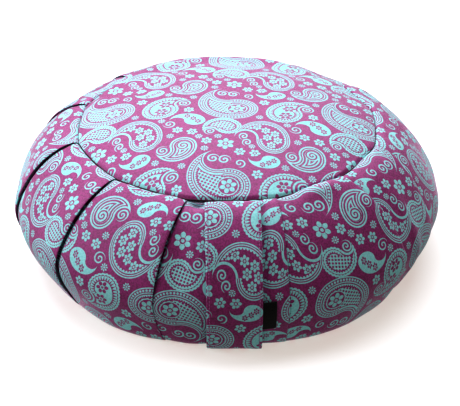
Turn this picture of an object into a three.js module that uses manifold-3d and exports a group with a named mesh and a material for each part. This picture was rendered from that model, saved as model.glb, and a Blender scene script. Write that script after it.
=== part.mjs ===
// A zafu: a round, filled sitting cushion. Millimetres, +Z up.
// The origin is on the floor under the cushion's middle, and the carrying handle faces -Y.
// Angles are in degrees from the handle, growing towards +X.
import * as THREE from 'three';
import { mergeVertices } from 'three/addons/utils/BufferGeometryUtils.js';
import Module from 'manifold-3d';

const wasm = await Module();
wasm.setup();

// Driving dimensions
const seamRadius = 147; // where the panels are sewn to the side band
const seamHeight = 127; // the top panel near its edge
const crown = 20; // how far the top panel's middle stands over that
const crownPower = 2.2; // how flat the crown's middle is
const seamDip = 4; // how far the panel's edge dips into the seam
const dipShare = 0.07; // the share of the radius over which it dips
const seamFlat = 1.8; // how far the seam runs inside its circle between two pleats
const clothThickness = 2;
const sewnGap = 0.6; // between a panel's edge and the band
const layGap = 0.4; // between a panel and the filling under it
const bandRows = 17;
const panelColumns = 96;

// The side band's section, from the top seam to the floor
const bandSections = [
  { place: 'top seam', radius: seamRadius + sewnGap, height: seamHeight - seamDip - 3 },
  { place: 'seam roll', radius: 151.5, height: 127 },
  { place: 'shoulder', radius: 161, height: 123.5 },
  { place: 'upper side', radius: 175, height: 113.5 },
  { place: 'middle side', radius: 188, height: 99 },
  { place: 'lower side', radius: 198, height: 82 },
  { place: 'over the widest', radius: 204.5, height: 64 },
  { place: 'widest', radius: 206, height: 49 },
  { place: 'under the widest', radius: 202.5, height: 33 },
  { place: 'tuck under', radius: 196, height: 16 },
  { place: 'foot', radius: 188, height: 3 },
  { place: 'floor edge', radius: 183, height: 0 },
];
const bottomSeamRadius = seamRadius + 2.5;

// One knife pleat a row: its lip laps over the next stretch of the band.
// tuck is the fold's depth under the lip, hold the share of the lip that is left at the widest place,
// lean how far the lip runs back there, and puff how far the stretch after the pleat bulges.
const pleats = [
  { angle: -137, tuck: 13, lip: 5.0, hold: 0.8, lean: 3.0, puff: 3.0 },
  { angle: -109, tuck: 14, lip: 5.5, hold: 0.9, lean: 3.0, puff: 2.5 },
  { angle: -77.5, tuck: 15, lip: 6.0, hold: 0.9, lean: 3.0, puff: 2.5 },
  { angle: -45.75, tuck: 15, lip: 5.5, hold: 0.9, lean: 3.0, puff: 2.0 },
  { angle: -16, tuck: 15, lip: 6.0, hold: 0.6, lean: 2.5, puff: 0.5 },
  { angle: 16.75, tuck: 10, lip: 3.0, hold: 0.6, lean: 3.0, puff: 3.0 },
  { angle: 43, tuck: 13, lip: 5.5, hold: 0.2, lean: 2.0, puff: 3.5 },
  { angle: 71, tuck: 13, lip: 4.5, hold: 0.5, lean: 3.0, puff: 3.0 },
  { angle: 99, tuck: 14, lip: 5.0, hold: 0.8, lean: 3.0, puff: 2.5 },
  { angle: 126, tuck: 14, lip: 5.5, hold: 0.9, lean: 3.5, puff: 2.5 },
  { angle: 153, tuck: 13, lip: 5.0, hold: 0.8, lean: 3.0, puff: 3.0 },
  { angle: 188, tuck: 14, lip: 5.5, hold: 0.9, lean: 3.0, puff: 2.5 },
];
const foldBend = 1.3; // half the depth of the lip's rounded edge
const foldSink = 2; // how far the cloth under a lip lies in
const foldOpens = 10; // the length along the band in which a fold opens from its seam

// A fold's cross-section. sewn and reach are along the band from the lip's edge, at the seam and away from
// it, and tuck, lip, bend and sink are shares of the sizes above.
const foldSteps = [
  { sewn: -24, reach: -24, tuck: 0, lip: 0.6, bend: 0, sink: 0 },
  { sewn: -10, reach: -10, tuck: 0, lip: 1, bend: 0, sink: 0 },
  { sewn: -2.8, reach: -2.5, tuck: 0, lip: 1, bend: 0.3, sink: 0 },
  { sewn: -1.4, reach: 0, tuck: 0, lip: 1, bend: 1, sink: 0 },
  { sewn: -0.5, reach: -2.5, tuck: 0, lip: 1, bend: 1.8, sink: 0 },
  { sewn: 0.5, reach: 0, tuck: -1, lip: 0.85, bend: 1.9, sink: 0 },
  { sewn: 1.4, reach: 0, tuck: -1, lip: 0, bend: 0, sink: 1 },
  { sewn: 2.8, reach: 0, tuck: 0, lip: 0, bend: 0, sink: 1 },
  { sewn: 12, reach: 12, tuck: 0, lip: 0, bend: 0, sink: 0.6 },
  { sewn: 26, reach: 26, tuck: 0, lip: 0, bend: 0, sink: 0.15 },
];
const stretchShares = [0.33, 0.67]; // the columns between two folds

// The carrying handle's middle line, from the top seam over the front to the bottom seam
const handleWidth = 50;
const handleThickness = 2.4;
const handleGap = 0.4;
const handleSections = [
  { place: 'in the top seam', out: 149.4, height: 122 },
  { place: 'over the roll', out: 153, height: 129.4 },
  { place: 'shoulder', out: 163, height: 125.6 },
  { place: 'upper side', out: 177.2, height: 115.6 },
  { place: 'middle side', out: 190.5, height: 100.6 },
  { place: 'lower side', out: 200.8, height: 83 },
  { place: 'over the widest', out: 207.4, height: 64.4 },
  { place: 'widest', out: 209.2, height: 49 },
  { place: 'hanging', out: 206.2, height: 28 },
  { place: 'above the floor', out: 199.8, height: 8 },
  { place: 'turn', out: 195.6, height: handleThickness },
  { place: 'on the floor', out: 190, height: handleThickness / 2 },
  { place: 'in the bottom seam', out: 151.5, height: handleThickness / 2 },
];
const handleSteps = 34;

// The woven label in the handle's seam
const labelWidth = 13;
const labelThickness = 1.2;
const labelLow = 31;
const labelHigh = 60;
const labelSteps = 6;
const labelTurn = 9; // how far it lies back along the band

const cloth = { color: 0x9c3a80, roughness: 0.85, metalness: 0 };
const labelCloth = { color: 0x141414, roughness: 0.8, metalness: 0 };

const smoothStep = THREE.MathUtils.smoothstep;
const mix = THREE.MathUtils.lerp;

// The point at a radius, an angle and a height
function around(radius, angle, height) {
  const turn = THREE.MathUtils.degToRad(angle);
  return new THREE.Vector3(radius * Math.sin(turn), -radius * Math.cos(turn), height);
}

// A closed solid of rings of points, from its top centre down to its bottom centre
function ringSolid(topCentre, rings, bottomCentre) {
  const columns = rings[0].length;
  const points = [topCentre, ...rings.flat(), bottomCentre];
  const last = points.length - 1;
  const at = (ring, column) => 1 + ring * columns + (column % columns);
  const faces = [];
  for (let column = 0; column < columns; column += 1) {
    faces.push(0, at(0, column), at(0, column + 1));
    for (let ring = 0; ring + 1 < rings.length; ring += 1) {
      const corners = [at(ring, column), at(ring + 1, column), at(ring + 1, column + 1), at(ring, column + 1)];
      faces.push(corners[0], corners[1], corners[2], corners[0], corners[2], corners[3]);
    }
    faces.push(last, at(rings.length - 1, column + 1), at(rings.length - 1, column));
  }
  return new THREE.BufferGeometry().setFromPoints(points).setIndex(faces);
}

function solidOf(geometry) {
  const bare = geometry.clone();
  bare.deleteAttribute('normal');
  bare.deleteAttribute('uv');
  const merged = mergeVertices(bare, 1e-4);
  return new wasm.Manifold(
    new wasm.Mesh({
      numProp: 3,
      vertProperties: new Float32Array(merged.attributes.position.array),
      triVerts: new Uint32Array(merged.index.array),
    }),
  );
}

function geometryOf(solid) {
  const mesh = solid.getMesh();
  const geometry = new THREE.BufferGeometry();
  geometry.setAttribute('position', new THREE.BufferAttribute(mesh.vertProperties, 3));
  geometry.setIndex(new THREE.BufferAttribute(mesh.triVerts, 1));
  geometry.computeVertexNormals();
  return geometry;
}

// How far an angle lies between the pleats around it, from 0 at one to 1 at the next
function stretchShare(angle) {
  const first = pleats[0].angle;
  const turned = THREE.MathUtils.euclideanModulo(angle - first, 360) + first;
  const next = pleats.findIndex((pleat) => pleat.angle > turned);
  const start = next < 0 ? pleats[pleats.length - 1].angle : pleats[next - 1].angle;
  const end = next < 0 ? first + 360 : pleats[next].angle;
  return (turned - start) / (end - start);
}

// The sewn edge runs in flat stretches from pleat to pleat
function seamInset(angle) {
  return seamFlat * Math.sin(Math.PI * stretchShare(angle));
}

// The top panel's height at a share of its radius
function crownHeight(share) {
  const dip = seamDip * smoothStep(share, 1 - dipShare, 1);
  return seamHeight + crown * (1 - share ** crownPower) - dip;
}

// The side band

const bandCurve = new THREE.SplineCurve(bandSections.map((row) => new THREE.Vector2(row.radius, row.height)));
const bandLength = bandCurve.getLength();
const widestShare = 0.62; // of the band's length, where the cushion is widest

// 0 at the seams and 1 at the widest place
function fullness(share) {
  return share < widestShare
    ? Math.sin((Math.PI / 2) * (share / widestShare))
    : Math.cos((Math.PI / 2) * ((share - widestShare) / (1 - widestShare)));
}

// Points of one ring of the band at a share of its length, as offsets from the section
function bandRing(share) {
  const spot = bandCurve.getPointAt(share);
  const run = bandCurve.getTangentAt(share);
  const out = new THREE.Vector2(-run.y, run.x);
  const full = fullness(share);
  const open = smoothStep(share * bandLength, 0, foldOpens);
  const perDegree = THREE.MathUtils.degToRad(spot.x);
  const ring = [];
  const place = (angle, lift) => {
    const radius = spot.x + out.x * lift - seamInset(angle) * (1 - full);
    ring.push(around(radius, angle, Math.max(spot.y + out.y * lift, 0)));
  };
  const lipAngle = (pleat) => pleat.angle - pleat.lean * full;
  pleats.forEach((pleat, index) => {
    const following = pleats[(index + 1) % pleats.length];
    const turn = index + 1 < pleats.length ? 0 : 360;
    const held = mix(1, pleat.hold, full);
    for (const step of foldSteps) {
      const folded = step.reach + step.tuck * pleat.tuck * held;
      const along = mix(step.sewn, folded, open);
      const lift = step.lip * pleat.lip * held - (step.bend * foldBend + step.sink * foldSink) * Math.min(1, held + 0.3);
      place(lipAngle(pleat) + along / perDegree, lift * open);
    }
    const start = lipAngle(pleat) + foldSteps[foldSteps.length - 1].reach / perDegree;
    const end = lipAngle(following) + turn + foldSteps[0].reach / perDegree;
    for (const part of stretchShares) place(mix(start, end, part), pleat.puff * full);
  });
  return ring;
}

// The filled body: the pleated band closed under both panels
function cushionSolid() {
  const rings = [];
  for (let row = 0; row < bandRows; row += 1) rings.push(bandRing(row / (bandRows - 1)));
  const angles = rings[0].map((point) => THREE.MathUtils.radToDeg(Math.atan2(point.x, -point.y)));
  const capShares = [0.3, 0.65, 0.88, 0.98];
  const under = clothThickness + layGap;
  const capRing = (share) =>
    angles.map((angle) => around(share * (seamRadius - seamInset(angle)), angle, crownHeight(share) - under));
  const floorRing = (radius, height) => angles.map((angle) => around(radius, angle, height));
  return ringSolid(
    new THREE.Vector3(0, 0, crownHeight(0) - under),
    [
      ...capShares.map(capRing),
      ...rings,
      floorRing(bottomSeamRadius, 0),
      floorRing(bottomSeamRadius - sewnGap / 2, under),
    ],
    new THREE.Vector3(0, 0, under),
  );
}

// The panels

function topPanelSolid() {
  const shares = [0.25, 0.5, 0.72, 0.88, 0.95, 1];
  const turn = 360 / panelColumns;
  const ring = (share, depth) =>
    Array.from({ length: panelColumns }, (_, column) => {
      const angle = column * turn;
      return around(share * (seamRadius - seamInset(angle) - sewnGap / 3), angle, crownHeight(share) - depth);
    });
  const upper = shares.map((share) => ring(share, 0));
  const lower = shares.map((share) => ring(share, clothThickness)).reverse();
  const middle = (depth) => new THREE.Vector3(0, 0, crownHeight(0) - depth);
  return ringSolid(middle(0), [...upper, ...lower], middle(clothThickness));
}

function bottomPanelSolid() {
  const radius = bottomSeamRadius - 1.5 * sewnGap;
  const disc = new THREE.CylinderGeometry(radius, radius, clothThickness, panelColumns);
  return disc.rotateX(Math.PI / 2).translate(0, 0, clothThickness / 2);
}

// The handle and its label

const handleCurve = new THREE.SplineCurve(handleSections.map((row) => new THREE.Vector2(row.out, row.height)));
// A strap's side outline lies in x, y: this turns it to face -Y, with its width along X
const strapTurn = new THREE.Matrix4().makeBasis(
  new THREE.Vector3(0, -1, 0),
  new THREE.Vector3(0, 0, 1),
  new THREE.Vector3(-1, 0, 0),
);

// A strap along the handle's line between two shares of it
function strapGeometry(from, to, steps, thickness, width) {
  const outer = [];
  const inner = [];
  for (let step = 0; step <= steps; step += 1) {
    const share = mix(from, to, step / steps);
    const spot = handleCurve.getPointAt(share);
    const run = handleCurve.getTangentAt(share);
    const out = new THREE.Vector2(-run.y, run.x).multiplyScalar(thickness / 2);
    outer.push(spot.clone().add(out));
    inner.unshift(spot.clone().sub(out));
  }
  for (const spot of [...outer, ...inner]) spot.y = Math.max(spot.y, 0);
  const outline = new THREE.Shape([...outer, ...inner]);
  return new THREE.ExtrudeGeometry(outline, { depth: width, bevelEnabled: false });
}

// The share of the handle's line at a height on its way down
function handleShareAt(height) {
  const shares = Array.from({ length: 400 }, (_, index) => 0.25 + (0.6 * index) / 400);
  return shares.find((share) => handleCurve.getPointAt(share).y < height);
}

function named(name, geometry, finish) {
  const mesh = new THREE.Mesh(geometry, new THREE.MeshStandardMaterial(finish));
  mesh.name = name;
  return mesh;
}

function handlePiece() {
  const strap = named('handle', strapGeometry(0, 1, handleSteps, handleThickness, handleWidth), cloth);
  strap.applyMatrix4(strapTurn);
  strap.position.x = handleWidth / 2;
  return strap;
}

// The body with a seat for the handle, where the handle enters both seams
function cushionPiece() {
  const seat = strapGeometry(0, 1, handleSteps, handleThickness + 2 * handleGap, handleWidth + 2 * handleGap);
  seat.applyMatrix4(strapTurn).translate(handleWidth / 2 + handleGap, 0, 0);
  const body = solidOf(cushionSolid()).subtract(solidOf(seat));
  return named('cushion', geometryOf(body), cloth);
}

function labelPiece() {
  const from = handleShareAt(labelHigh);
  const to = handleShareAt(labelLow);
  const tab = named('label', strapGeometry(from, to, labelSteps, labelThickness, labelWidth), labelCloth);
  const edge = new THREE.Group();
  const pivot = handleCurve.getPointAt((from + to) / 2).x;
  edge.position.set(handleWidth / 2 + handleGap, -pivot, 0);
  edge.rotation.z = THREE.MathUtils.degToRad(labelTurn);
  tab.applyMatrix4(strapTurn);
  tab.position.set(labelWidth, pivot, 0);
  edge.add(tab);
  return edge;
}

const zafu = new THREE.Group();
zafu.name = 'zafu';
zafu.add(
  cushionPiece(),
  named('top_panel', topPanelSolid(), cloth),
  named('bottom_panel', bottomPanelSolid(), cloth),
  handlePiece(),
  labelPiece(),
);

export default zafu;
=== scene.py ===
import math

import bpy
import numpy as np
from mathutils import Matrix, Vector


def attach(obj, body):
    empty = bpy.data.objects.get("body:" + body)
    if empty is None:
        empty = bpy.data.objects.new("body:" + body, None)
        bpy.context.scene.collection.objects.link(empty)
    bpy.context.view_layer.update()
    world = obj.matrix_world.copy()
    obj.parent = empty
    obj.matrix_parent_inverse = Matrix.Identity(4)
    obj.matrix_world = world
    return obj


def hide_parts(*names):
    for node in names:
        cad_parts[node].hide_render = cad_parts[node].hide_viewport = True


# A zafu in paisley cotton: crowned top, knife-pleated side band, flat base, strap handle, woven label.
# Sizes are millimetres, laid down in metres. Angles start at the handle and grow to the right.
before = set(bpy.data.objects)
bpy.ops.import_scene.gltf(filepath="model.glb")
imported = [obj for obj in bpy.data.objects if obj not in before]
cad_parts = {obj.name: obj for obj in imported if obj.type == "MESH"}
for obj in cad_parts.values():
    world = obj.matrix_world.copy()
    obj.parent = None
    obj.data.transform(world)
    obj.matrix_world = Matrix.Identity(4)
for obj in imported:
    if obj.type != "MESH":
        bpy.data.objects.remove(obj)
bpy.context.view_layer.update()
mm = 0.001
weldReach = 2e-6  # metres
print("frame loaded:", sorted(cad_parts))


# a flat grid, and the row and column of each of its vertices
def clothGrid(name, columns, rows):
    bpy.ops.object.select_all(action="DESELECT")
    bpy.ops.mesh.primitive_grid_add(x_subdivisions=columns, y_subdivisions=rows, size=2)
    piece = bpy.context.object
    piece.name = piece.data.name = name
    flat = np.empty(len(piece.data.vertices) * 3)
    piece.data.vertices.foreach_get("co", flat)
    flat = flat.reshape(-1, 3)
    column = np.rint((flat[:, 0] + 1) / 2 * columns).astype(int)
    row = np.rint((1 - flat[:, 1]) / 2 * rows).astype(int)  # row 0 is the upper edge
    return piece, row, column


# lays a grid in its place, with the flat cloth it was cut from as its UV map, in metres
def layCloth(piece, row, column, places, flatCut, flatCutBefore=None):
    mesh = piece.data
    mesh.vertices.foreach_set("co", (places[row, column] * mm).ravel())
    corner = np.empty(len(mesh.loops), dtype=int)
    mesh.loops.foreach_get("vertex_index", corner)
    faceColumn = np.repeat(column[corner].reshape(-1, 4).min(axis=1), 4)
    rightSide = (column[corner] > faceColumn)[:, None]
    cut = flatCut[row[corner], column[corner]]
    before = cut if flatCutBefore is None else flatCutBefore[row[corner], column[corner]]
    mesh.uv_layers[0].data.foreach_set("uv", (np.where(rightSide, before, cut) * mm).ravel())
    mesh.update()


def closeAndSmooth(piece):
    bpy.ops.object.select_all(action="DESELECT")
    piece.select_set(True)
    bpy.context.view_layer.objects.active = piece
    bpy.ops.object.mode_set(mode="EDIT")
    bpy.ops.mesh.select_all(action="SELECT")
    bpy.ops.mesh.remove_doubles(threshold=weldReach)
    bpy.ops.object.mode_set(mode="OBJECT")
    bpy.ops.object.shade_smooth()


# an eased step from 0 to 1
def ramp(value, start, end):
    share = np.clip((value - start) / (end - start), 0, 1)
    return share * share * (3 - 2 * share)


line = {"samples": 60, "easing": 60, "slopeStep": 0.5}  # for every line drawn through points


# a smooth line through a few points, and the length along it
def runThrough(points):
    points = np.array(points, float)
    ends = np.vstack([2 * points[0] - points[1], points, 2 * points[-1] - points[-2]])
    share = np.linspace(0, len(points) - 1, line["samples"] * len(points))
    start = np.minimum(share.astype(int), len(points) - 2)
    f = (share - start)[:, None]
    a, b, c, d = (ends[start + k] for k in range(4))
    run = 0.5 * (2 * b + (c - a) * f + (2 * a - 5 * b + 4 * c - d) * f**2 + (3 * b - a - 3 * c + d) * f**3)
    for _ in range(line["easing"]):  # eases the bends where two stretches meet
        run[1:-1] = (run[:-2] + 2 * run[1:-1] + run[2:]) / 4
    length = np.concatenate([[0], np.cumsum(np.hypot(*np.diff(run, axis=0).T))])
    return run, length


def atLength(run, length, along):
    return np.stack([np.interp(along, length, run[:, 0]), np.interp(along, length, run[:, 1])], axis=-1)


# direction of a line at a length along it
def slopeAt(run, length, along):
    ahead = np.minimum(along + line["slopeStep"], length[-1])
    slope = atLength(run, length, ahead) - atLength(run, length, along - line["slopeStep"])
    return slope / np.hypot(slope[..., :1], slope[..., 1:])


# degrees from one direction to others, either way round
def turnedFrom(middle, angle):
    return np.abs(np.mod(np.asarray(angle, float) - middle + 180, 360) - 180)


# places round the upright through the middle
def around(radius, angle, height):
    turn = np.radians(angle)
    return np.stack([radius * np.sin(turn), -radius * np.cos(turn), height + 0 * turn], axis=-1)


# soft uneven lie of filled cloth: a few long waves over two measures
def unevenness(first, second, seed, waves=9, reaches=(0.5, 1.6)):
    chance = np.random.default_rng(seed)
    total = 0 * first
    for _ in range(waves):
        turn = chance.uniform(0, 2 * math.pi)
        reach = chance.uniform(*reaches)
        phase = chance.uniform(0, 2 * math.pi)
        total = total + np.sin((first * math.cos(turn) + second * math.sin(turn)) * reach + phase) / reach
    return total / waves


cushion = {
    "seamRadius": 147,
    "seamHeight": 127,
    "seamFlat": 2.2,  # how far the seam runs inside its circle between pleats
    "crown": 23,
    "crownPower": 3.0,
    "seamDip": 2.4,
    "dipFrom": 0.98,  # share of the way out to the seam
    "drawnMiddle": -5,  # the seam is drawn in deepest round the front
    "drawnFade": (50, 80),  # degrees to each side
    "drawnLoss": 0.8,
    "backRoll": 6,  # the filling stands up in a soft roll along the back of the seam
    "rollOpposite": 15,  # direction straight across from it
    "rollFade": (105, 150),
    "rollPlace": 0.92,  # shares of the way out to the seam
    "rollWidth": 0.085,
    "rollEnd": 0.94,
}

# a knife pleat a row: angle at the seams, tuck at the widest place, lip height, share of it kept there,
# lean back, bulge of the stretch after it, depth of the slit beside the lip, length down to where it closes
pleats = [
    (-137, 9, 1.3, 1.0, 3.0, 1.5, 6, 136),
    (-109, 9, 1.3, 1.1, 3.0, 1.0, 6, 136),
    (-77.5, 10, 1.4, 1.2, 3.0, 0.5, 7, 136),
    (-45.75, 10, 1.4, 1.2, 4.7, 0.5, 7, 138),
    (-16, 9, 2.6, 0.9, 4.4, -0.5, 6, 92),
    (15.4, 6, 1.2, 0.7, 2.0, 1.5, 1.6, 136),
    (43, 6, 1.7, 0.8, -7.5, 2.0, 2.2, 190),
    (71, 7, 1.2, 0.6, 3.0, 1.5, 4, 136),
    (99, 8, 1.3, 0.9, 3.0, 1.0, 6, 136),
    (126, 9, 1.3, 1.0, 3.5, 1.0, 7, 136),
    (153, 9, 1.3, 1.0, 3.0, 1.0, 7, 136),
    (188, 9, 1.3, 1.0, 3.0, 1.0, 7, 136),
]
pleatAngle = np.array([row[0] for row in pleats], float)


# the seam runs straighter between its pleats
def seamInset(angle):
    turned = np.mod(np.asarray(angle, float) - pleatAngle[0], 360) + pleatAngle[0]
    ends = np.append(pleatAngle, pleatAngle[0] + 360)
    index = np.clip(np.searchsorted(ends, turned, side="right") - 1, 0, len(pleats) - 1)
    share = (turned - ends[index]) / (ends[index + 1] - ends[index])
    return cushion["seamFlat"] * np.sin(math.pi * share)


# share of its full depth to which the seam is drawn in
def seamDraw(angle):
    fade = ramp(turnedFrom(cushion["drawnMiddle"], angle), *cushion["drawnFade"])
    return 1 - cushion["drawnLoss"] * fade


# height of the top panel, at a share of the way out to the seam
def crownHeight(share, angle):
    dip = cushion["seamDip"] * ramp(share, cushion["dipFrom"], 1) * seamDraw(angle)
    atBack = ramp(turnedFrom(cushion["rollOpposite"], angle), *cushion["rollFade"])
    hump = np.exp(-(((share - cushion["rollPlace"]) / cushion["rollWidth"]) ** 2))
    roll = cushion["backRoll"] * atBack * hump * (1 - ramp(share, cushion["rollEnd"], 1))
    return cushion["seamHeight"] + cushion["crown"] * (1 - share ** cushion["crownPower"]) + roll - dip


# side band
band = {
    # radius and height from the top seam to the bottom seam
    "section": [
        (147.3, 124.4),
        (149.0, 126.3),
        (153.5, 126.0),
        (160, 123.4),
        (168, 118.9),
        (178.3, 110.2),
        (189, 97.8),
        (199, 82),
        (207, 65.5),
        (210, 50),
        (206, 33),
        (198, 17),
        (190.5, 5),
        (183, 0.6),
        (170, 0.3),
        (148.5, 0.3),
    ],
    "widest": 113,  # length along the section from the top seam
    "laidDown": (154, 180),  # lengths between which the floor presses the lips flat
    "laidShare": 0.9,
    "opens": (-4, 20),  # lengths over which folds and slits open out below the top seam
    "rises": (2, 44),  # and over which the lips rise
    "seamTuck": 20,  # depth of every pleat at its seam
    "seamLip": 0.5,  # lip, fold and slit where they start at the seam
    "seamFold": 0.25,
    "seamSlit": 0.3,
    "clothFold": 0.6,  # half the depth of a lip's rounded edge
    "slitFade": 24,  # length over which a slit closes, to each side
    "lipFade": 0.75,  # share of a lip that lies down where its slit has closed
    "stitchStep": 3,  # columns from one step of a fold to the next
    "closeRows": (16, 12),  # length below the seam with rows close together, and their number
    "otherRows": 78,
    # long waves of the filling, and short ones beside the top seam
    "lie": {"lift": 1.6, "around": 7, "down": 34, "seed": 3},
    "pucker": {"lift": 1.1, "around": 46, "down": 16, "seed": 5},
    "puckerPlace": 9,  # length along the section
    "puckerReach": 13,
    "clearance": 0.3,  # over the floor
    "capRows": 5,
    "capReach": 0.97,
    "capUnder": 4,  # filling below the top panel
    "capOver": 3.0,  # and above the floor
    "printStep": 97,  # cloth from one stretch to the next
}
# a fold from its lip back to the stretch after it: length along, share of tuck, of lip, of fold, of slit
foldSteps = [
    (-30, 0, 0.35, 0, 0),
    (-18, 0, 0.72, 0, 0),
    (-9, 0, 1.0, 0, 0),
    (-3, 0, 1.04, 0, 0),
    (0.7, 0, 1.0, 0.2, 0),
    (0.7, 0, 1.0, 1.8, 0),
    (-3, 0, 1.0, 2.2, 0.1),
    (-1, -0.5, 0.95, 2.2, 0.4),
    (0, -1, 0.6, 2.2, 0.8),
    (0, -1, 0, 0, 1.1),
    (-2, -0.4, 0, 0, 1.1),
    (-0.3, 0, 0, 0, 1.1),
    (0.3, 0, 0, 0, 0.85),
    (1.0, 0, 0, 0, 0.12),
    (5.5, 0, 0, 0, 0.05),
    (16, 0, 0, 0, 0),
]
foldCut = 9  # step of a fold, out of sight, where the print passes on to the next stretch
stretchSteps = [0.3, 0.5, 0.7]
# hollows and swells: angle, length down from the seam, half width, half height, lift
swells = [
    (-11.5, 6, 9, 6, -5.5),  # mouth of the pleat beside the handle
    (9.6, 12, 3.4, 10, -3.2),  # along the handle's right edge
    (8.4, 38, 3.4, 20, -3.8),
    (7.5, 76, 3.4, 36, -3.4),
    (-14.5, 62, 9, 40, -2.6),
    (-17.5, 170, 9, 7, -6.0),
    (33, 7, 24, 10, 4.2),  # the stretch that rolls over the seam
    (58, 18, 26, 20, 1.5),
    (4, 150, 40, 40, 1.5),
    (-11, 160, 20, 26, 3.0),
    (26, 156, 75, 26, 6.0),
    (-30, 160, 52, 24, 6.5),
    (-163, 12, 45, 24, 3.4),
    (137, 12, 40, 24, -3.0),
    (-100, 62, 60, 36, 4.5),
    (-62, 60, 24, 40, -1.2),
    (-92, 70, 24, 40, -1.2),
]


# angles and lifts of every row of the band, through all its folds
def foldedBand(along, full, section):
    stepsEach = len(foldSteps) + len(stretchSteps)
    deepestFold = max(row[3] for row in foldSteps) * band["clothFold"]
    held = 1 - ramp(along, *band["laidDown"]) * band["laidShare"]
    opened = ramp(along, *band["opens"])
    raised = ramp(along, *band["rises"])
    angles = np.empty((len(along), len(pleats) * stepsEach))
    lifts = np.empty_like(angles)
    perMm = np.degrees(1 / section[:, 0])
    lipAngle = [row[0] - row[4] * full for row in pleats]
    for index, (_, tuck, lip, keep, _, bulge, slit, slitEnd) in enumerate(pleats):
        first = index * stepsEach
        shut = ramp(along, slitEnd - band["slitFade"], slitEnd + band["slitFade"])
        lipLift = band["seamLip"] + lip * raised * (1 - (1 - keep) * full)
        lipLift = lipLift * held * (1 - band["lipFade"] * shut)
        fold = band["seamFold"] + (band["clothFold"] - band["seamFold"]) * opened
        fold = fold * np.minimum(1, lipLift / deepestFold)
        sink = band["seamSlit"] + (slit - band["seamSlit"]) * opened * (1 - shut)
        depth = band["seamTuck"] + (tuck - band["seamTuck"]) * full
        for step, (reach, tucked, lipShare, foldShare, sinkShare) in enumerate(foldSteps):
            angles[:, first + step] = lipAngle[index] + (reach + tucked * depth) * perMm
            lifts[:, first + step] = lipShare * lipLift - foldShare * fold - sinkShare * sink
        turn = 0 if index + 1 < len(pleats) else 360
        start = lipAngle[index] + foldSteps[-1][0] * perMm
        end = lipAngle[(index + 1) % len(pleats)] + turn + foldSteps[0][0] * perMm
        for step, share in enumerate(stretchSteps):
            angles[:, first + len(foldSteps) + step] = start + (end - start) * share
            lifts[:, first + len(foldSteps) + step] = bulge * full
    return roundedLoop(angles, 360), roundedLoop(lifts, 0), stepsEach


# a smooth closed run that is drawn towards the points of each row
def roundedLoop(points, turn):
    steps = band["stitchStep"]
    whole = np.concatenate([points[:, -1:] - turn, points, points[:, :2] + turn], axis=1)
    count = points.shape[1]
    out = np.empty((points.shape[0], count * steps))
    for step in range(steps):
        t = step / steps
        weights = ((1 - t) ** 3, 3 * t**3 - 6 * t**2 + 4, -3 * t**3 + 3 * t**2 + 3 * t + 1, t**3)
        out[:, step::steps] = sum(w * whole[:, k : k + count] for k, w in enumerate(weights)) / 6
    return out


# unevenness round the band and down it
def bandWaves(waves, angles, down):
    ring = np.radians(angles)
    over, up = waves["around"] * np.cos(ring), waves["around"] * np.sin(ring)
    return waves["lift"] * unevenness(over, up + down / waves["down"], waves["seed"])


# flat strip: every stretch is measured from its own middle, and one stretch follows the other
def cutStrip(along, runs, stepsEach):
    steps, capRows = band["stitchStep"], band["capRows"]
    arc = np.concatenate([np.zeros((len(along), 1)), np.cumsum(runs, axis=1)], axis=1)
    count = arc.shape[1]
    wholeTurn = arc[:, -1:] + runs[:, -1:]
    flat = np.zeros((len(along) + 2 * capRows, count + 1, 2))
    flatBefore = np.zeros_like(flat)
    sideRows = slice(capRows, capRows + len(along))
    for index in range(len(pleats)):
        first = (index * stepsEach + foldCut) * steps
        middle = (index * stepsEach + len(foldSteps) + len(stretchSteps) // 2) * steps
        columns = np.arange(first, first + stepsEach * steps + 1)
        wrapped = columns % count
        spread = arc[:, wrapped] + (columns >= count) * wholeTurn - arc[:, middle : middle + 1]
        clothStart = index * band["printStep"]
        flat[sideRows, wrapped[:-1], 0] = clothStart + spread[:, :-1]
        flatBefore[sideRows, wrapped[1:], 0] = clothStart + spread[:, 1:]
    flat[:, count] = flat[:, 0]
    flatBefore[:, count] = flatBefore[:, 0]
    rowDown = np.concatenate([np.zeros(capRows), along, np.full(capRows, along[-1])])
    flat[..., 1] = flatBefore[..., 1] = -rowDown[:, None]
    return -flat, -flatBefore  # the strip is cut with the print upside down


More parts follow.
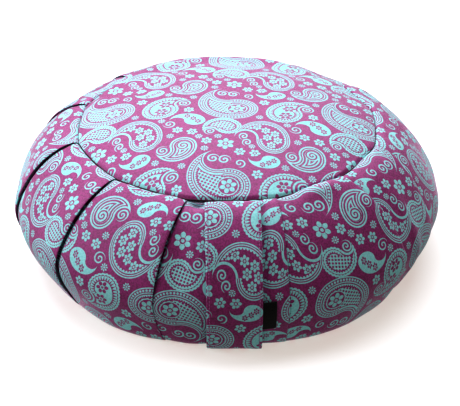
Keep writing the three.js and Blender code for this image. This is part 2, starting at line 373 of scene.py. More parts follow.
def makeSideBand():
    run, length = runThrough(band["section"])
    closeLength, closeCount = band["closeRows"]
    closeRows = np.linspace(0, closeLength, closeCount, endpoint=False)
    along = np.concatenate([closeRows, np.linspace(closeLength, length[-1], band["otherRows"])])
    section = atLength(run, length, along)
    slope = slopeAt(run, length, along)
    full = np.where(
        along < band["widest"],
        np.sin(math.pi / 2 * np.clip(along / band["widest"], 0, 1)),
        np.cos(math.pi / 2 * np.clip((along - band["widest"]) / (length[-1] - band["widest"]), 0, 1)),
    )
    angles, lifts, stepsEach = foldedBand(along, full, section)
    runs = np.hypot(np.diff(np.radians(angles) * section[:, :1], axis=1), np.diff(lifts, axis=1))
    down, fullness = along[:, None], full[:, None]
    for angle, low, wide, tall, lift in swells:
        gap = turnedFrom(angle, angles) * np.radians(section[:, :1])
        lifts = lifts + lift * np.exp(-((gap / wide) ** 2) - ((down - low) / tall) ** 2)
    nearSeam = np.exp(-(((down - band["puckerPlace"]) / band["puckerReach"]) ** 2))
    lifts = lifts + bandWaves(band["lie"], angles, down) * fullness
    lifts = lifts + bandWaves(band["pucker"], angles, down) * nearSeam
    radius = section[:, :1] - slope[:, 1:] * lifts - seamInset(angles) * (1 - fullness)
    height = np.maximum(section[:, 1:] + slope[:, :1] * lifts, band["clearance"])
    side = around(radius, angles, height)
    # the filling under both panels closes the form
    count = angles.shape[1]
    even = angles[0, 0] + 360 * np.arange(count) / count
    shares = np.linspace(0, band["capReach"], band["capRows"])
    upper = [around(cushion["seamRadius"] * q, even, crownHeight(q, even) - band["capUnder"]) for q in shares]
    lower = [around(cushion["seamRadius"] * q, even, np.full(count, band["capOver"])) for q in shares[::-1]]
    places = np.concatenate([np.array(upper), side, np.array(lower)])
    places = np.concatenate([places, places[:, :1]], axis=1)
    piece, row, column = clothGrid("sideBand", count, len(places) - 1)
    layCloth(piece, row, column, places, *cutStrip(along, runs, stepsEach))
    closeAndSmooth(piece)
    return piece


sideBand = makeSideBand()
print("side band laid in", len(pleats), "pleats")


# panels
panel = {
    "columns": 288,
    "rings": 60,
    "edgeRings": 25,  # closer together beside the seam
    "edgeFrom": 0.9,
    "seamGap": 0.3,
    "thickness": 0.9,
    "lie": {"lift": 1.1, "around": 3.2, "fade": 4, "seed": 11},
    "pucker": {"lift": 0.55, "around": 40, "out": 6, "place": 0.955, "reach": 0.035, "seed": 12},
    "topTurn": -6,  # of the print
    "bottomTurn": 20,
    "baseHeight": 0.35,  # of the bottom panel over the floor
    "baseHollow": 0.3,
}


def makePanel(name, heightAt, facesUp, turn):
    middleRings = np.linspace(0, panel["edgeFrom"], panel["rings"])
    rings = np.append(middleRings, np.linspace(panel["edgeFrom"], 1, panel["edgeRings"] + 1)[1:])
    if not facesUp:
        rings = rings[::-1]
    angles = np.linspace(0, 360, panel["columns"] + 1)[None, :]
    share = rings[:, None]
    edge = cushion["seamRadius"] - panel["seamGap"] - seamInset(angles)
    places = around(share * edge, angles + 0 * share, heightAt(share, angles))
    x, y = places[..., 0], places[..., 1]
    cos, sin = math.cos(math.radians(turn)), math.sin(math.radians(turn))
    flat = np.stack([x * cos + y * sin, y * cos - x * sin], axis=-1)
    piece, row, column = clothGrid(name, panel["columns"], len(rings) - 1)
    layCloth(piece, row, column, places, flat)
    closeAndSmooth(piece)
    thick = piece.modifiers.new("cloth", "SOLIDIFY")
    thick.thickness = panel["thickness"] * mm
    thick.offset = -1
    bpy.ops.object.modifier_apply(modifier=thick.name)
    return piece


def topHeight(share, angles):
    lie, pucker = panel["lie"], panel["pucker"]
    cos, sin = np.cos(np.radians(angles)), np.sin(np.radians(angles))
    longWaves = unevenness(lie["around"] * share * cos, lie["around"] * share * sin, lie["seed"])
    over, up = pucker["around"] * cos + pucker["out"] * share, pucker["around"] * sin
    shortWaves = unevenness(over, up, pucker["seed"])
    edge = np.exp(-(((share - pucker["place"]) / pucker["reach"]) ** 2))
    height = crownHeight(share, angles) + lie["lift"] * longWaves * (1 - share ** lie["fade"])
    return height + pucker["lift"] * shortWaves * edge


def baseHeight(share, angles):
    return panel["baseHeight"] + panel["baseHollow"] * (1 - share) + 0 * angles


topPanel = makePanel("topPanel", topHeight, True, panel["topTurn"])
bottomPanel = makePanel("bottomPanel", baseHeight, False, panel["bottomTurn"])
print("panels cut and crowned")


# a near-black cord in the top seam: painted shade, a dark line round the front where the seam lies in shade
seamShadeCord = {"radius": 0.8, "height": 125.4, "columns": 288, "sides": 8}


def makeSeamShadeCord():
    angles = np.linspace(0, 360, seamShadeCord["columns"] + 1)[None, :]
    turn = np.linspace(0, 2 * math.pi, seamShadeCord["sides"] + 1)[:, None]
    # painted shade: the cord is thickest round the front and thins where the seam is lit
    thick = seamShadeCord["radius"] * seamDraw(angles)
    radius = cushion["seamRadius"] - seamInset(angles) + thick * np.sin(turn)
    places = around(radius, angles + 0 * turn, seamShadeCord["height"] + thick * np.cos(turn))
    flat = np.zeros(places.shape[:2] + (2,))
    piece, row, column = clothGrid("seamShadeCord", seamShadeCord["columns"], seamShadeCord["sides"])
    layCloth(piece, row, column, places, flat)
    closeAndSmooth(piece)
    return piece


seamShadeCordPiece = makeSeamShadeCord()
# the near-black cord round the top seam is painted shade
print("thread run round the top seam")


# strap handle
handle = {
    "width": 50,
    "thickness": 1.7,
    "stitchLine": 2.6,  # in from each edge
    "stitchDent": 0.3,
    "sag": 0.6,
    "rightLift": 1.6,  # how far the edge with the label stands off
    "freed": (16, 60),  # lengths over which it comes away from the band
    "laidFlat": (160, 200),  # and lies down again
    "overSeam": 40,  # length by which the run has risen over the seam
    "rows": 150,
    "clothStart": (31, 12),
    # out from the middle and up, from the top seam over the front to the bottom seam
    "run": [
        (147.8, 124.3),
        (149.8, 127.4),
        (154, 127.3),
        (161, 124.9),
        (169.2, 120.3),
        (180, 111.4),
        (191.2, 98.8),
        (200.8, 82.7),
        (208.8, 65.6),
        (212, 49.5),
        (209, 28),
        (203, 9),
        (198.4, 2.6),
        (191.5, 1.1),
        (150, 1.1),
    ],
}
handleRun = runThrough(handle["run"])
strap = {
    "columns": 61,
    "edgeCrowd": 1.5,  # draws the columns together at the edges
    "edgePower": 18,  # how square the edges are
    "dentWidth": 0.7,
    "clearance": 0.25,
}


# lift of the right edge along the handle
def standsOff(along, rightLift):
    return rightLift * ramp(along, *handle["freed"]) * (1 - ramp(along, *handle["laidFlat"]))


# length at which the run has come down to a height
def lengthDownTo(height):
    run, length = handleRun
    return length[np.argmax((run[:, 1] < height) & (length > handle["overSeam"]))]


# a flat doubled strap of cloth along the handle's run
def makeStrap(name, start, end, settings):
    run, length = handleRun
    along = np.linspace(start, end, settings["rows"])
    spot = atLength(run, length, along)
    slope = slopeAt(run, length, along)
    half = settings["width"] / 2
    bend = np.linspace(-1, 1, strap["columns"])
    across = half * np.sign(bend) * (1 - (1 - np.abs(bend)) ** strap["edgeCrowd"])
    face = settings["thickness"] / 2 * np.sqrt(1 - (np.abs(across) / half) ** strap["edgePower"])
    fromStitch = np.abs(across) - (half - settings["stitchLine"])
    face = face - settings["stitchDent"] * np.exp(-((fromStitch / strap["dentWidth"]) ** 2))
    x = np.concatenate([across, across[-2::-1]])
    y = np.concatenate([face, -face[-2::-1]])
    ends = np.ones(len(along))
    ends[[0, -1]] = 0
    offBand = standsOff(along, settings["rightLift"])[:, None] * np.clip(x / half, 0, 1) ** 2
    lift = y[None, :] * ends[:, None] + (offBand - settings["sag"] * (x / half) ** 2)
    side = x[None, :] + 0 * lift
    out = spot[:, :1] - slope[:, 1:] * lift
    up = np.maximum(spot[:, 1:] + slope[:, :1] * lift, strap["clearance"])
    clothX, clothY = settings["clothStart"]
    flat = np.stack([clothX + side, clothY - along[:, None] + 0 * lift], axis=-1)
    piece, row, column = clothGrid(name, len(x) - 1, len(along) - 1)
    layCloth(piece, row, column, np.stack([side, -out, up], axis=-1), flat)
    closeAndSmooth(piece)
    return piece


handlePiece = makeStrap("strapHandle", 0, handleRun[1][-1], handle)
print("handle laid over the front")


# woven label in the handle's right edge
label = {
    "width": 13.5,
    "height": 31,
    "thickness": 1.0,
    "from": 59.5,  # heights of its two ends
    "to": 29.5,
    "turn": 10,  # degrees about the upright, to follow the side
    "sewnIn": 0.6,
    "sag": 0.3,
    "rightLift": 0,
    "stitchLine": 0,
    "stitchDent": 0,
    "rows": 40,
    "clothStart": (0, 0),
}


def makeLabel():
    start, end = lengthDownTo(label["from"]), lengthDownTo(label["to"])
    piece = makeStrap("labelTab", start, end, label)
    middle = atLength(*handleRun, (start + end) / 2)[0]
    flat = np.empty(len(piece.data.vertices) * 3)
    piece.data.vertices.foreach_get("co", flat)
    spots = flat.reshape(-1, 3) / mm
    turn = math.radians(label["turn"])
    x, y = spots[:, 0] + label["width"] / 2 - label["sewnIn"], spots[:, 1] + middle
    spots[:, 0] = handle["width"] / 2 + x * math.cos(turn) - y * math.sin(turn)
    spots[:, 1] = x * math.sin(turn) + y * math.cos(turn) - middle
    piece.data.vertices.foreach_set("co", (spots * mm).ravel())
    piece.data.update()
    return piece


labelPiece = makeLabel()
print("label sewn in")


# topstitching along both edges of the handle
stitch = {
    "pitch": 3.1,
    "length": 2.3,
    "width": 0.75,
    "sunk": 0.1,  # into the cloth
    "from": 8,  # length along the handle
    "lowest": 7,  # height of the last one
    "segments": 8,
    "rings": 6,
}


def makeTopstitch():
    run, length = handleRun
    bpy.ops.object.select_all(action="DESELECT")
    bpy.ops.mesh.primitive_uv_sphere_add(segments=stitch["segments"], ring_count=stitch["rings"], radius=1)
    first = bpy.context.object
    first.name = "topstitch"
    first.scale = (stitch["width"] / 2 * mm, stitch["length"] / 2 * mm, stitch["width"] / 2 * mm)
    bpy.ops.object.transform_apply(scale=True)
    copies = []
    place = handle["width"] / 2 - handle["stitchLine"]
    surface = handle["thickness"] / 2 - stitch["sunk"]
    for along in np.arange(stitch["from"], lengthDownTo(stitch["lowest"]), stitch["pitch"]):
        spot = atLength(run, length, along)
        slope = slopeAt(run, length, along)
        for side, rightLift in ((-1, 0), (1, handle["rightLift"])):
            copy = first.copy()
            copy.data = first.data.copy()
            bpy.context.collection.objects.link(copy)
            rise = standsOff(along, rightLift) - handle["sag"]
            high = surface + rise * (place / (handle["width"] / 2)) ** 2
            out = spot[0] - slope[1] * high
            up = spot[1] + slope[0] * high
            copy.location = (side * place * mm, -out * mm, up * mm)
            copy.rotation_euler = (math.atan2(slope[1], -slope[0]), 0, 0)
            copies.append(copy)
    bpy.data.objects.remove(first)
    bpy.ops.object.select_all(action="DESELECT")
    for copy in copies:
        copy.select_set(True)
    bpy.context.view_layer.objects.active = copies[0]
    bpy.ops.object.join()
    bpy.ops.object.transform_apply(location=True, rotation=True, scale=True)
    piece = bpy.context.object
    piece.name = piece.data.name = "topstitch"
    bpy.ops.object.shade_smooth()
    return piece


topstitch = makeTopstitch()
print("topstitching run along the handle")


# one socket of a shader, for sums on values
class Shade:
    def __init__(self, tree, socket=None):
        self.tree = tree
        self.socket = socket

    def node(self, kind, settings, inputs, output=0):
        made = self.tree.nodes.new(kind)
        for key, value in settings.items():
            setattr(made, key, value)
        for key, value in inputs.items():
            if isinstance(value, Shade):
                self.tree.links.new(value.socket, made.inputs[key])
            else:
                made.inputs[key].default_value = value
        return Shade(self.tree, made.outputs[output])

    def sum(self, operation, *values):
        return self.node("ShaderNodeMath", {"operation": operation}, dict(enumerate(values)))

    def vector(self, operation, *values, output=0):
        return self.node("ShaderNodeVectorMath", {"operation": operation}, dict(enumerate(values)), output)

    def __add__(self, other):
        return self.sum("ADD", self, other)

    def __sub__(self, other):
        return self.sum("SUBTRACT", self, other)

    def __rsub__(self, other):
        return self.sum("SUBTRACT", other, self)

    def __mul__(self, other):
        return self.sum("MULTIPLY", self, other)

    def __truediv__(self, other):
        return self.sum("DIVIDE", self, other)

    def __rtruediv__(self, other):
        return self.sum("DIVIDE", other, self)

    def __mod__(self, other):
        return self.sum("FLOORED_MODULO", self, other)

    def __lt__(self, other):
        return self.sum("LESS_THAN", self, other)

    def __gt__(self, other):
        return self.sum("GREATER_THAN", self, other)

    def __neg__(self):
        return self.sum("MULTIPLY", self, -1)

    def __abs__(self):
        return self.sum("ABSOLUTE", self)

    __radd__ = __add__
    __rmul__ = __mul__

    def low(self, other):
        return self.sum("MINIMUM", self, other)

    def high(self, other):
        return self.sum("MAXIMUM", self, other)

    def root(self):
        return self.sum("SQRT", self)

    def angle(self, across):
        return self.sum("ARCTAN2", self, across)

    def parts(self):
        split = self.node("ShaderNodeSeparateXYZ", {}, {0: self}).socket.node
        return [Shade(self.tree, output) for output in split.outputs]


def choose(mask, yes, no):
    return mask.node("ShaderNodeMix", {"data_type": "FLOAT"}, {0: mask, 2: no, 3: yes})


def blend(share, first, second):
    return share.node("ShaderNodeMix", {"data_type": "RGBA"}, {0: share, 6: first, 7: second}, 2)


def startMaterial(name, roughness, sheen, gloss):
    material = bpy.data.materials.new(name)
    material.use_nodes = True
    shader = material.node_tree.nodes["Principled BSDF"]
    shader.inputs["Roughness"].default_value = roughness
    shader.inputs["Sheen Weight"].default_value = sheen
    shader.inputs["Specular IOR Level"].default_value = gloss
    return material, Shade(material.node_tree), shader


yarn = {
    "roughness": 0.85,
    "sheen": 0.2,
    "gloss": 0.2,
    "detail": 2,
    "contrast": 2.4,
    "darkShare": 0.7,
    "bump": {"Strength": 0.4, "Distance": 0.4 * mm},
}


# spun or woven yarn: two shades in a fine grain, which also stands up a little
def yarnMaterial(name, dark, pale, grainSize):
    material, made, shader = startMaterial(name, yarn["roughness"], yarn["sheen"], yarn["gloss"])
    spot = made.node("ShaderNodeTexCoord", {}, {}, 3)
    size = {"Vector": spot, "Scale": 1 / (grainSize * mm), "Detail": yarn["detail"]}
    grain = made.node("ShaderNodeTexNoise", {}, size)
    share = (grain * yarn["contrast"] - yarn["darkShare"]).high(0).low(1)
    colour = blend(share, (*dark, 1), (*pale, 1))
    bump = made.node("ShaderNodeBump", {}, {"Height": grain, **yarn["bump"]})
    made.tree.links.new(colour.socket, shader.inputs["Base Color"])
    made.tree.links.new(bump.socket, shader.inputs["Normal"])
    return material


# the print: every motif is drawn in a place of unit size, and its lines are in millimetres
lineShare = 0.44  # of a tendril's pitch
smallFit = {"width": 0.84, "shift": 0.12}  # how a comma is squeezed into its place
largeFit = {"width": 0.8, "shift": 0.18, "height": 0.97}


def distance(x, y):
    return (x * x + y * y).root()


def between(value, start, end):
    return (value > start) * (value < end)


# 0 in the middle of each pitch along a line, 1 half way to the next
def beat(along, pitch):
    return abs((along / pitch + 0.5) % 1 - 0.5) * 2


# small dots in slanting rows
def dots(x, y, pitch, share):
    return distance(beat(x + y, pitch), beat(x - y, pitch)) < share


# offset from the nearest of a few spots
def nearestOf(x, y, spots):
    best, nearX, nearY = None, None, None
    for spotX, spotY in spots:
        offX, offY = x - spotX, y - spotY
        far = offX * offX + offY * offY
        if best is None:
            best, nearX, nearY = far, offX, offY
        else:
            closer = far < best
            nearX, nearY = choose(closer, offX, nearX), choose(closer, offY, nearY)
            best = far.low(best)
    return nearX, nearY


# a comma, head up, its tail curling round to the left: depth in from the outer edge, and distance out of
# the hollow beside the tail
def comma(x, y, head, backSlope=9):
    inHead = head - distance(x, y - (1 - head))
    outer = (1 - distance(x, y)).low((x * backSlope).high(inHead))
    hollow = distance(x, y + head) - (1 - head)
    return outer, hollow


# distance along the comma's outer edge from the top of its head
def edgeRun(x, y, head):
    return choose(x > 0, x.angle(y), (-x).angle(y - (1 - head)) * head)


# 0 along the middle of a spiral line, 1 half way to its next turn
def curl(x, y, pitch, start):
    wind = (distance(x, y) / pitch + y.angle(x) * (0.5 / math.pi) + start) % 1
    return abs(wind - 0.5) * 2


# six petals round a ring
def flower(x, y):
    far = distance(x, y)
    side = beat(y.angle(x), math.pi / 3)
    petals = far < 0.98 - 0.1 * side - 0.34 * side * side
    return petals * (1 - between(far, 0.2, 0.35)) * (1 - (side > 0.87) * (far < 0.66))


# eight narrow petals round a dot
def daisy(x, y):
    far = distance(x, y)
    side = beat(y.angle(x), math.pi / 4)
    return ((side < 0.64) * between(far, 0.36, 0.98 - 0.3 * side)).high(far < 0.23)


# a tendril
def scroll(x, y):
    return (curl(x, y, 0.6, 0.35) < 0.36) * (distance(x, y) < 0.96)


# flowers at a few spots in a comma
def flowers(x, y, spots, scale):
    flowerX, flowerY = nearestOf(x, y, spots)
    return flower(flowerX * scale, flowerY * scale)


# a tendril that fills the hollow beside the tail
def hollowCurl(x, y, head, size, pitch):
    return curl(x * size, (y + head) * size, pitch, 0.1) < lineShare


# small tendrils at a few spots in the hollow
def smallCurls(x, y, spots, size, pitch, radius):
    curlX, curlY = nearestOf(x, y, spots)
    line = curl(curlX * size, curlY * size, pitch, 0.35)
    return (line < lineShare) * (distance(curlX, curlY) * size < radius)


def solidComma(x, y):
    x = x * 0.8 + 0.2
    outer, hollow = comma(x, y, 0.58)
    depth = outer.low(hollow)
    punched = flowers(x, y * 1.6, [(-0.06, 0.96), (0.32, 0.5), (0.64, -0.06)], 3.2)
    return (depth > 0) * (1 - punched * (depth > 0.07))


def bandedComma(x, y):
    size, head = 20, 0.64
    x = x * smallFit["width"] + smallFit["shift"]
    outer, hollow = comma(x, y, head)
    depth = outer.low(hollow) * size
    mask = between(depth, 0, 1.7).high(between(depth, 2.9, 4.0))
    headX, headY = x * size, (y - 1 + head) * size
    core = choose(distance(headX, headY) < 6.8, curl(headX, headY, 3.4, 0.6) < 0.56, depth % 2.9 < 1.5)
    mask = mask.high(core * (depth > 5))
    return mask.high(hollowCurl(x, y, head, size, 3.3) * (hollow < -0.05))


def scallopedComma(x, y):
    size, head = 19, 0.68
    x = x * smallFit["width"] + smallFit["shift"]
    outer, hollow = comma(x, y, head)
    depth = outer.low(hollow) * size
    rim = outer < hollow
    scallop = beat(edgeRun(x, y, head) * size, 3.6) * rim
    mask = between(depth - 0.8 * scallop * scallop, 0, 2.0)
    mask = mask.high(between(depth, 2.9, 4.0 + 1.5 * scallop) * rim)
    mask = mask.high((outer > 0.34) * (hollow > 0.17) * (1 - dots(x * size, y * size, 4.4, 0.7)))
    return mask.high(hollowCurl(x, y, head, size, 3.2) * (hollow < -0.03))


def leafyComma(x, y):
    size, head = 24, 0.7
    x = x * smallFit["width"] + smallFit["shift"]
    outer, hollow = comma(x, y, head)
    depth = outer.low(hollow) * size
    rim = outer < hollow
    scallop = beat(edgeRun(x, y, head) * size, 4.0) * rim
    mask = between(depth - 0.9 * scallop * scallop, 0, 1.9)
    leaf = (depth - 3.0) / 4.0
    mask = mask.high((scallop < 0.86 - 0.7 * leaf * leaf) * between(leaf, 0, 1) * rim)
    punched = flowers(x, y, [(-0.1, 0.32), (0.34, -0.08)], 3.6)
    mask = mask.high((outer > 0.33) * (hollow > 0.16) * (1 - punched))
    return mask.high(hollowCurl(x, y, head, size, 3.3) * (hollow < -0.03))


def floweredComma(x, y):
    size, head = 29, 0.6
    x, y = x * largeFit["width"] + largeFit["shift"], y * largeFit["height"]
    outer, hollow = (part * size for part in comma(x, y, head))
    mask = between(outer.low(hollow), 0, 1.1)
    mask = mask.high(between(outer, 2.0, 2.9) * (hollow > 0))
    scallop = beat(edgeRun(x, y, head) * size, 4.2)
    mask = mask.high(between(outer, 3.9, 6.1 - 1.7 * scallop * scallop) * (hollow > 3.4))
    mask = mask.high(between(hollow, 0, 2.3) * (outer > 3.2))
    inHead = [(-0.24, 0.34), (0.02, 0.56), (0.34, 0.44), (0.12, 0.18)]
    inTail = [(0.48, 0.1), (0.64, -0.22), (0.62, -0.54)]
    mask = mask.high(flowers(x, y, inHead + inTail, 5.6) * (outer > 6.8) * (hollow > 3.6))
    curls = smallCurls(x, y, [(0.1, -0.66), (-0.2, -0.52), (-0.48, -0.24)], size, 3.5, 5.2)
    return mask.high(curls * (hollow < -1.2))


def beadedComma(x, y):
    size, head = 32, 0.6
    x, y = x * largeFit["width"] + largeFit["shift"], y * largeFit["height"]
    outer, hollow = (part * size for part in comma(x, y, head))
    along = edgeRun(x, y, head) * size
    mask = between(outer.low(hollow), 0, 1.1)
    bead = distance(beat(along, 3.2) * 1.6, outer - 2.8)
    mask = mask.high((bead < 1.15) * (hollow > 2))
    fromEdge, fromHollow = outer - 4.5, hollow - 2.1
    inner = fromEdge.low(fromHollow)
    mask = mask.high(between(inner, 0, 1.0))
    teeth = beat(along, 2.9) * (fromEdge < fromHollow)
    mask = mask.high(between(inner, 2.0, 4.1 - 1.5 * teeth))
    headX, headY = x * size, (y - 1 + head) * size
    rose = flower(headX / 7.6, headY / 7.6).high(between(distance(headX, headY), 8.4, 9.3))
    core = choose(distance(headX, headY) < 9.3, rose, 1 - dots(headX, headY, 4.4, 0.7))
    mask = mask.high(core * (inner > 5.1))
    curls = smallCurls(x, y, [(0.12, -0.68), (-0.16, -0.54), (-0.46, -0.28)], size, 3.6, 5.6)
    return mask.high(curls * (hollow < -1.2))


commas = [solidComma, bandedComma, scallopedComma, leafyComma, floweredComma, beadedComma]
motifs = [daisy, flower, scroll] + commas

cottonPrint = {
    "ground": (0.295, 0.0265, 0.178, 1),
    "groundDeep": (0.162, 0.0152, 0.097, 1),
    "fuzz": (1, 0.76, 0.98, 1),  # tints of the sheen and the gloss
    "gloss": (1, 0.66, 0.93, 1),
    "aqua": (0.335, 0.7, 0.735, 1),
    "aquaDeep": (0.27, 0.6, 0.635, 1),
    "roughness": 0.62,
    "sheen": 1.0,
    "sheenRoughness": 0.3,
    "glossWeight": 1.0,
    "ink": {"Roughness": 0.8, "Sheen Weight": 0.1, "Specular IOR Level": 0.1},
    "wear": {"Scale": 38, "Detail": 3},
    "grain": {"Scale": 620, "Detail": 2},
    "soft": {"Scale": 70, "Detail": 2},
    "wearShare": 0.4,  # of the dye's unevenness
    "grainShare": 4.5,
    "deepShare": 1.95,
    "weaveTurn": 9.0,  # radians to a millimetre
    "weaveRise": 0.06,
    "grainRise": 0.12,
    "bump": {"Strength": 0.35, "Distance": 1.2 * mm},
    "repeat": 120,  # both ways
    "drawn": 0.96,  # share of its place that each motif fills
    # what, across, up, half width, half height, turn, mirrored
    "layout": [
        (beadedComma, 0, 0, 28.5, 33.5, 200, 1),
        (floweredComma, 37.5, 60, 27, 26.5, -90, -1),
        (leafyComma, 61.5, -9.5, 19.5, 27, 125, 1),
        (scallopedComma, -2, 72.5, 17, 20, -60, -1),
        (bandedComma, 79, 36, 17.5, 20.5, -70, 1),
        (solidComma, 84.5, 86, 11.5, 18, -90, -1),
        (solidComma, 41, 22.5, 9.5, 15.5, -95, 1),
    ],
    # round ones in the gaps: what, across, up, half size, turn
    "sprigs": [
        (flower, 4, 44, 9, 30),
        (flower, 18, 33, 5.8, 10),
        (flower, 32, 32, 5.8, 0),
        (flower, 77, 66, 5.8, 35),
        (flower, 91, 63, 5.8, 50),
        (flower, 106, 48, 5.8, 25),
        (flower, 84, 105, 5.8, 40),
        (flower, 36, 5, 5.8, 15),
        (scroll, 68, 77, 6.8, 40),
        (scroll, 19, 17, 6.8, 15),
        (daisy, 29, 42, 4.2, 30),
        (daisy, 33, 94, 4.2, 25),
        (daisy, 60, 83, 4.2, 10),
        (daisy, 61, 18, 4.2, 40),
        (daisy, 71, 56, 4.2, 35),
        (daisy, 86, 12, 4.2, 15),
        (daisy, 98, 55, 4.2, 20),
        (daisy, 105, 36, 4.2, 5),
        (daisy, 116, 56, 4.2, 0),
    ],
}


# the motif whose place is nearest: its own coordinates, and which of the motifs it is
def nearestMotif(flat):
    best, nearest = None, None
    half, drawn = cottonPrint["repeat"] / 2, cottonPrint["drawn"]
    sprigs = [(kind, x, y, size, size, turn, 1) for kind, x, y, size, turn in cottonPrint["sprigs"]]
    for motif, across, up, halfWidth, halfHeight, turn, mirrored in cottonPrint["layout"] + sprigs:
        which = motifs.index(motif)
        offset = flat.vector("SUBTRACT", flat, (across, up, 0))
        offset = flat.vector("WRAP", offset, (half,) * 3, (-half,) * 3)
        place = {
            "Vector": offset,
            "Location": (0, 0, -which),
            "Rotation": (0, 0, math.radians(turn)),
            "Scale": (halfWidth * mirrored * drawn, halfHeight * drawn, 1),
        }
        local = flat.node("ShaderNodeMapping", {"vector_type": "TEXTURE"}, place)
        far = flat.vector("DISTANCE", local, (0, 0, which), output=1)
        if best is None:
            best, nearest = far, local
        else:
            either = {0: far < best, 4: nearest, 5: local}
            nearest = flat.node("ShaderNodeMix", {"data_type": "VECTOR"}, either, 1)
            best = best.low(far)
    return nearest.parts()


def printMaterial():
    weights = cottonPrint["roughness"], cottonPrint["sheen"], cottonPrint["glossWeight"]
    material, made, cotton = startMaterial("printedCotton", *weights)
    cotton.inputs["Sheen Roughness"].default_value = cottonPrint["sheenRoughness"]
    cotton.inputs["Specular Tint"].default_value = cottonPrint["gloss"]
    cotton.inputs["Sheen Tint"].default_value = cottonPrint["fuzz"]
    uv = made.node("ShaderNodeUVMap", {"uv_map": "UVMap"}, {})
    flat = made.vector("MULTIPLY", uv, (1 / mm, 1 / mm, 0))
    x, y, which = nearestMotif(flat)
    inked = None
    for index, motif in enumerate(motifs):
        shown = motif(x, y) * (abs(which - index) < 0.5)
        inked = shown if inked is None else inked + shown
    spot = made.node("ShaderNodeTexCoord", {}, {}, 3)
    wear = made.node("ShaderNodeTexNoise", {}, {"Vector": spot, **cottonPrint["wear"]})
    grain = made.node("ShaderNodeTexNoise", {}, {"Vector": spot, **cottonPrint["grain"]})
    soft = made.node("ShaderNodeTexNoise", {}, {"Vector": spot, **cottonPrint["soft"]})
    shade = wear * cottonPrint["wearShare"] + grain * cottonPrint["grainShare"] - cottonPrint["deepShare"]
    shade = shade.low(1).high(0)
    ground = blend(shade, cottonPrint["groundDeep"], cottonPrint["ground"])
    aqua = blend(shade, cottonPrint["aquaDeep"], cottonPrint["aqua"])
    # plain weave, and the soft lie of the cloth
    across, up, _ = flat.parts()
    warp = made.sum("SINE", across * cottonPrint["weaveTurn"])
    weft = made.sum("SINE", up * cottonPrint["weaveTurn"])
    height = warp * weft * cottonPrint["weaveRise"] + grain * cottonPrint["grainRise"] + soft
    bump = made.node("ShaderNodeBump", {}, {"Height": height, **cottonPrint["bump"]})
    made.tree.links.new(ground.socket, cotton.inputs["Base Color"])
    made.tree.links.new(bump.socket, cotton.inputs["Normal"])
    dye = {"Base Color": aqua, "Normal": bump, **cottonPrint["ink"]}
    ink = made.node("ShaderNodeBsdfPrincipled", {}, dye)
    layers = {0: inked, 1: Shade(made.tree, cotton.outputs[0]), 2: ink}
    printed = made.node("ShaderNodeMixShader", {}, layers)
    made.tree.links.new(printed.socket, made.tree.nodes["Material Output"].inputs["Surface"])
    return material


printedCotton = printMaterial()
wovenLabel = yarnMaterial("wovenLabel", (0.004, 0.004, 0.005), (0.016, 0.015, 0.018), 0.9)
thread = yarnMaterial("thread", (0.36, 0.11, 0.29), (0.58, 0.27, 0.5), 0.7)
# near-black yarn for the cord in the top seam: painted shade
paintedSeamShade = yarnMaterial("paintedSeamShade", (0.012, 0.003, 0.008), (0.04, 0.009, 0.026), 0.8)
print("materials mixed,", len(printedCotton.node_tree.nodes), "nodes in the printed cotton")

for piece, cloth, node, slot in (
    (sideBand, printedCotton, "cushion", "printed_cotton"),
    (topPanel, printedCotton, "top_panel", "printed_cotton"),
    (bottomPanel, printedCotton, "bottom_panel", "printed_cotton"),
    (handlePiece, printedCotton, "handle", "printed_cotton"),
    (labelPiece, wovenLabel, "label", "woven_label"),
    (topstitch, thread, None, "printed_cotton"),
    (seamShadeCordPiece, paintedSeamShade, None, "printed_cotton"),
):
    piece.data.materials.clear()
    piece.data.materials.append(cloth)
    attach(piece, "root")
    if node:
        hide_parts(node)
print("pieces put in their places in the frame")

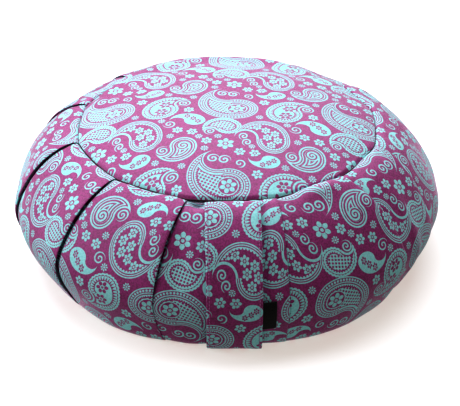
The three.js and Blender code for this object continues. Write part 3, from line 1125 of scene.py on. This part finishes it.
# floor, light and camera
stage = {
    "floorSize": 9,
    "floor": (0.56, 0.61, 0.66),
    "floorRoughness": 0.9,
    "floorGloss": 0.2,
    "glow": (0.385, 0.338, 0.302),
    "sky": 0.285,
    "skyLight": (1, 0.96, 0.89),
    "lampLight": (0.97, 0.97, 1),
    "lampAim": (0, 0, 0.08),
    # a soft lamp a row: name, place, size, power
    "lamps": [
        ("overhead", (-0.08, 1.35, 2.1), 3.0, 92),
        ("leftFill", (-1.8, 0.15, 0.9), 1.2, 22),
    ],
}
bpy.ops.object.select_all(action="DESELECT")
bpy.ops.mesh.primitive_plane_add(size=stage["floorSize"])
floor = bpy.context.object
floor.name = "floor"
floorPaper, _, shader = startMaterial("floorPaper", stage["floorRoughness"], 0, stage["floorGloss"])
shader.inputs["Base Color"].default_value = (*stage["floor"], 1)
shader.inputs["Emission Color"].default_value = (*stage["glow"], 1)
shader.inputs["Emission Strength"].default_value = 1
floor.data.materials.append(floorPaper)
floor.visible_diffuse = False  # a lit-through paper that throws no light up at the cushion's dark front
floor.visible_glossy = False

world = bpy.data.worlds.new("studio")
bpy.context.scene.world = world
world.use_nodes = True
world.node_tree.nodes["Background"].inputs["Color"].default_value = (*stage["skyLight"], 1)
world.node_tree.nodes["Background"].inputs["Strength"].default_value = stage["sky"]

for name, place, size, power in stage["lamps"]:
    bpy.ops.object.select_all(action="DESELECT")
    bpy.ops.object.light_add(type="AREA", location=place)
    lamp = bpy.context.object
    lamp.name = name
    lamp.data.size = size
    lamp.data.energy = power
    lamp.data.color = stage["lampLight"]
    lamp.rotation_euler = (Vector(stage["lampAim"]) - Vector(place)).to_track_quat("-Z", "Y").to_euler()

view = {
    "turn": -1.75,  # degrees
    "rise": 29.8,
    "distance": 1.47,  # metres
    "aim": (0, 0, 0.0635),
    "focal": 1465.8,  # in pixels, as are the offset and the width of the picture
    "offset": (-2.7, 22.4),
    "picture": 460,
    "sensor": 36,  # millimetres
}
turn, rise = math.radians(view["turn"]), math.radians(view["rise"])
back = Vector((math.sin(turn) * math.cos(rise), -math.cos(turn) * math.cos(rise), math.sin(rise)))
right = Vector((math.cos(turn), math.sin(turn), 0))
up = back.cross(right)
look = -back - right * (view["offset"][0] / view["focal"]) - up * (view["offset"][1] / view["focal"])
bpy.ops.object.select_all(action="DESELECT")
bpy.ops.object.camera_add(location=Vector(view["aim"]) + back * view["distance"])
camera = bpy.context.object
camera.rotation_euler = look.to_track_quat("-Z", "Y").to_euler()
camera.data.sensor_width = view["sensor"]
camera.data.lens = view["focal"] * view["sensor"] / view["picture"]
bpy.context.scene.camera = camera
bpy.context.scene.view_settings.view_transform = "Standard"
bpy.context.scene.view_settings.look = "High Contrast"

print("ready to render")
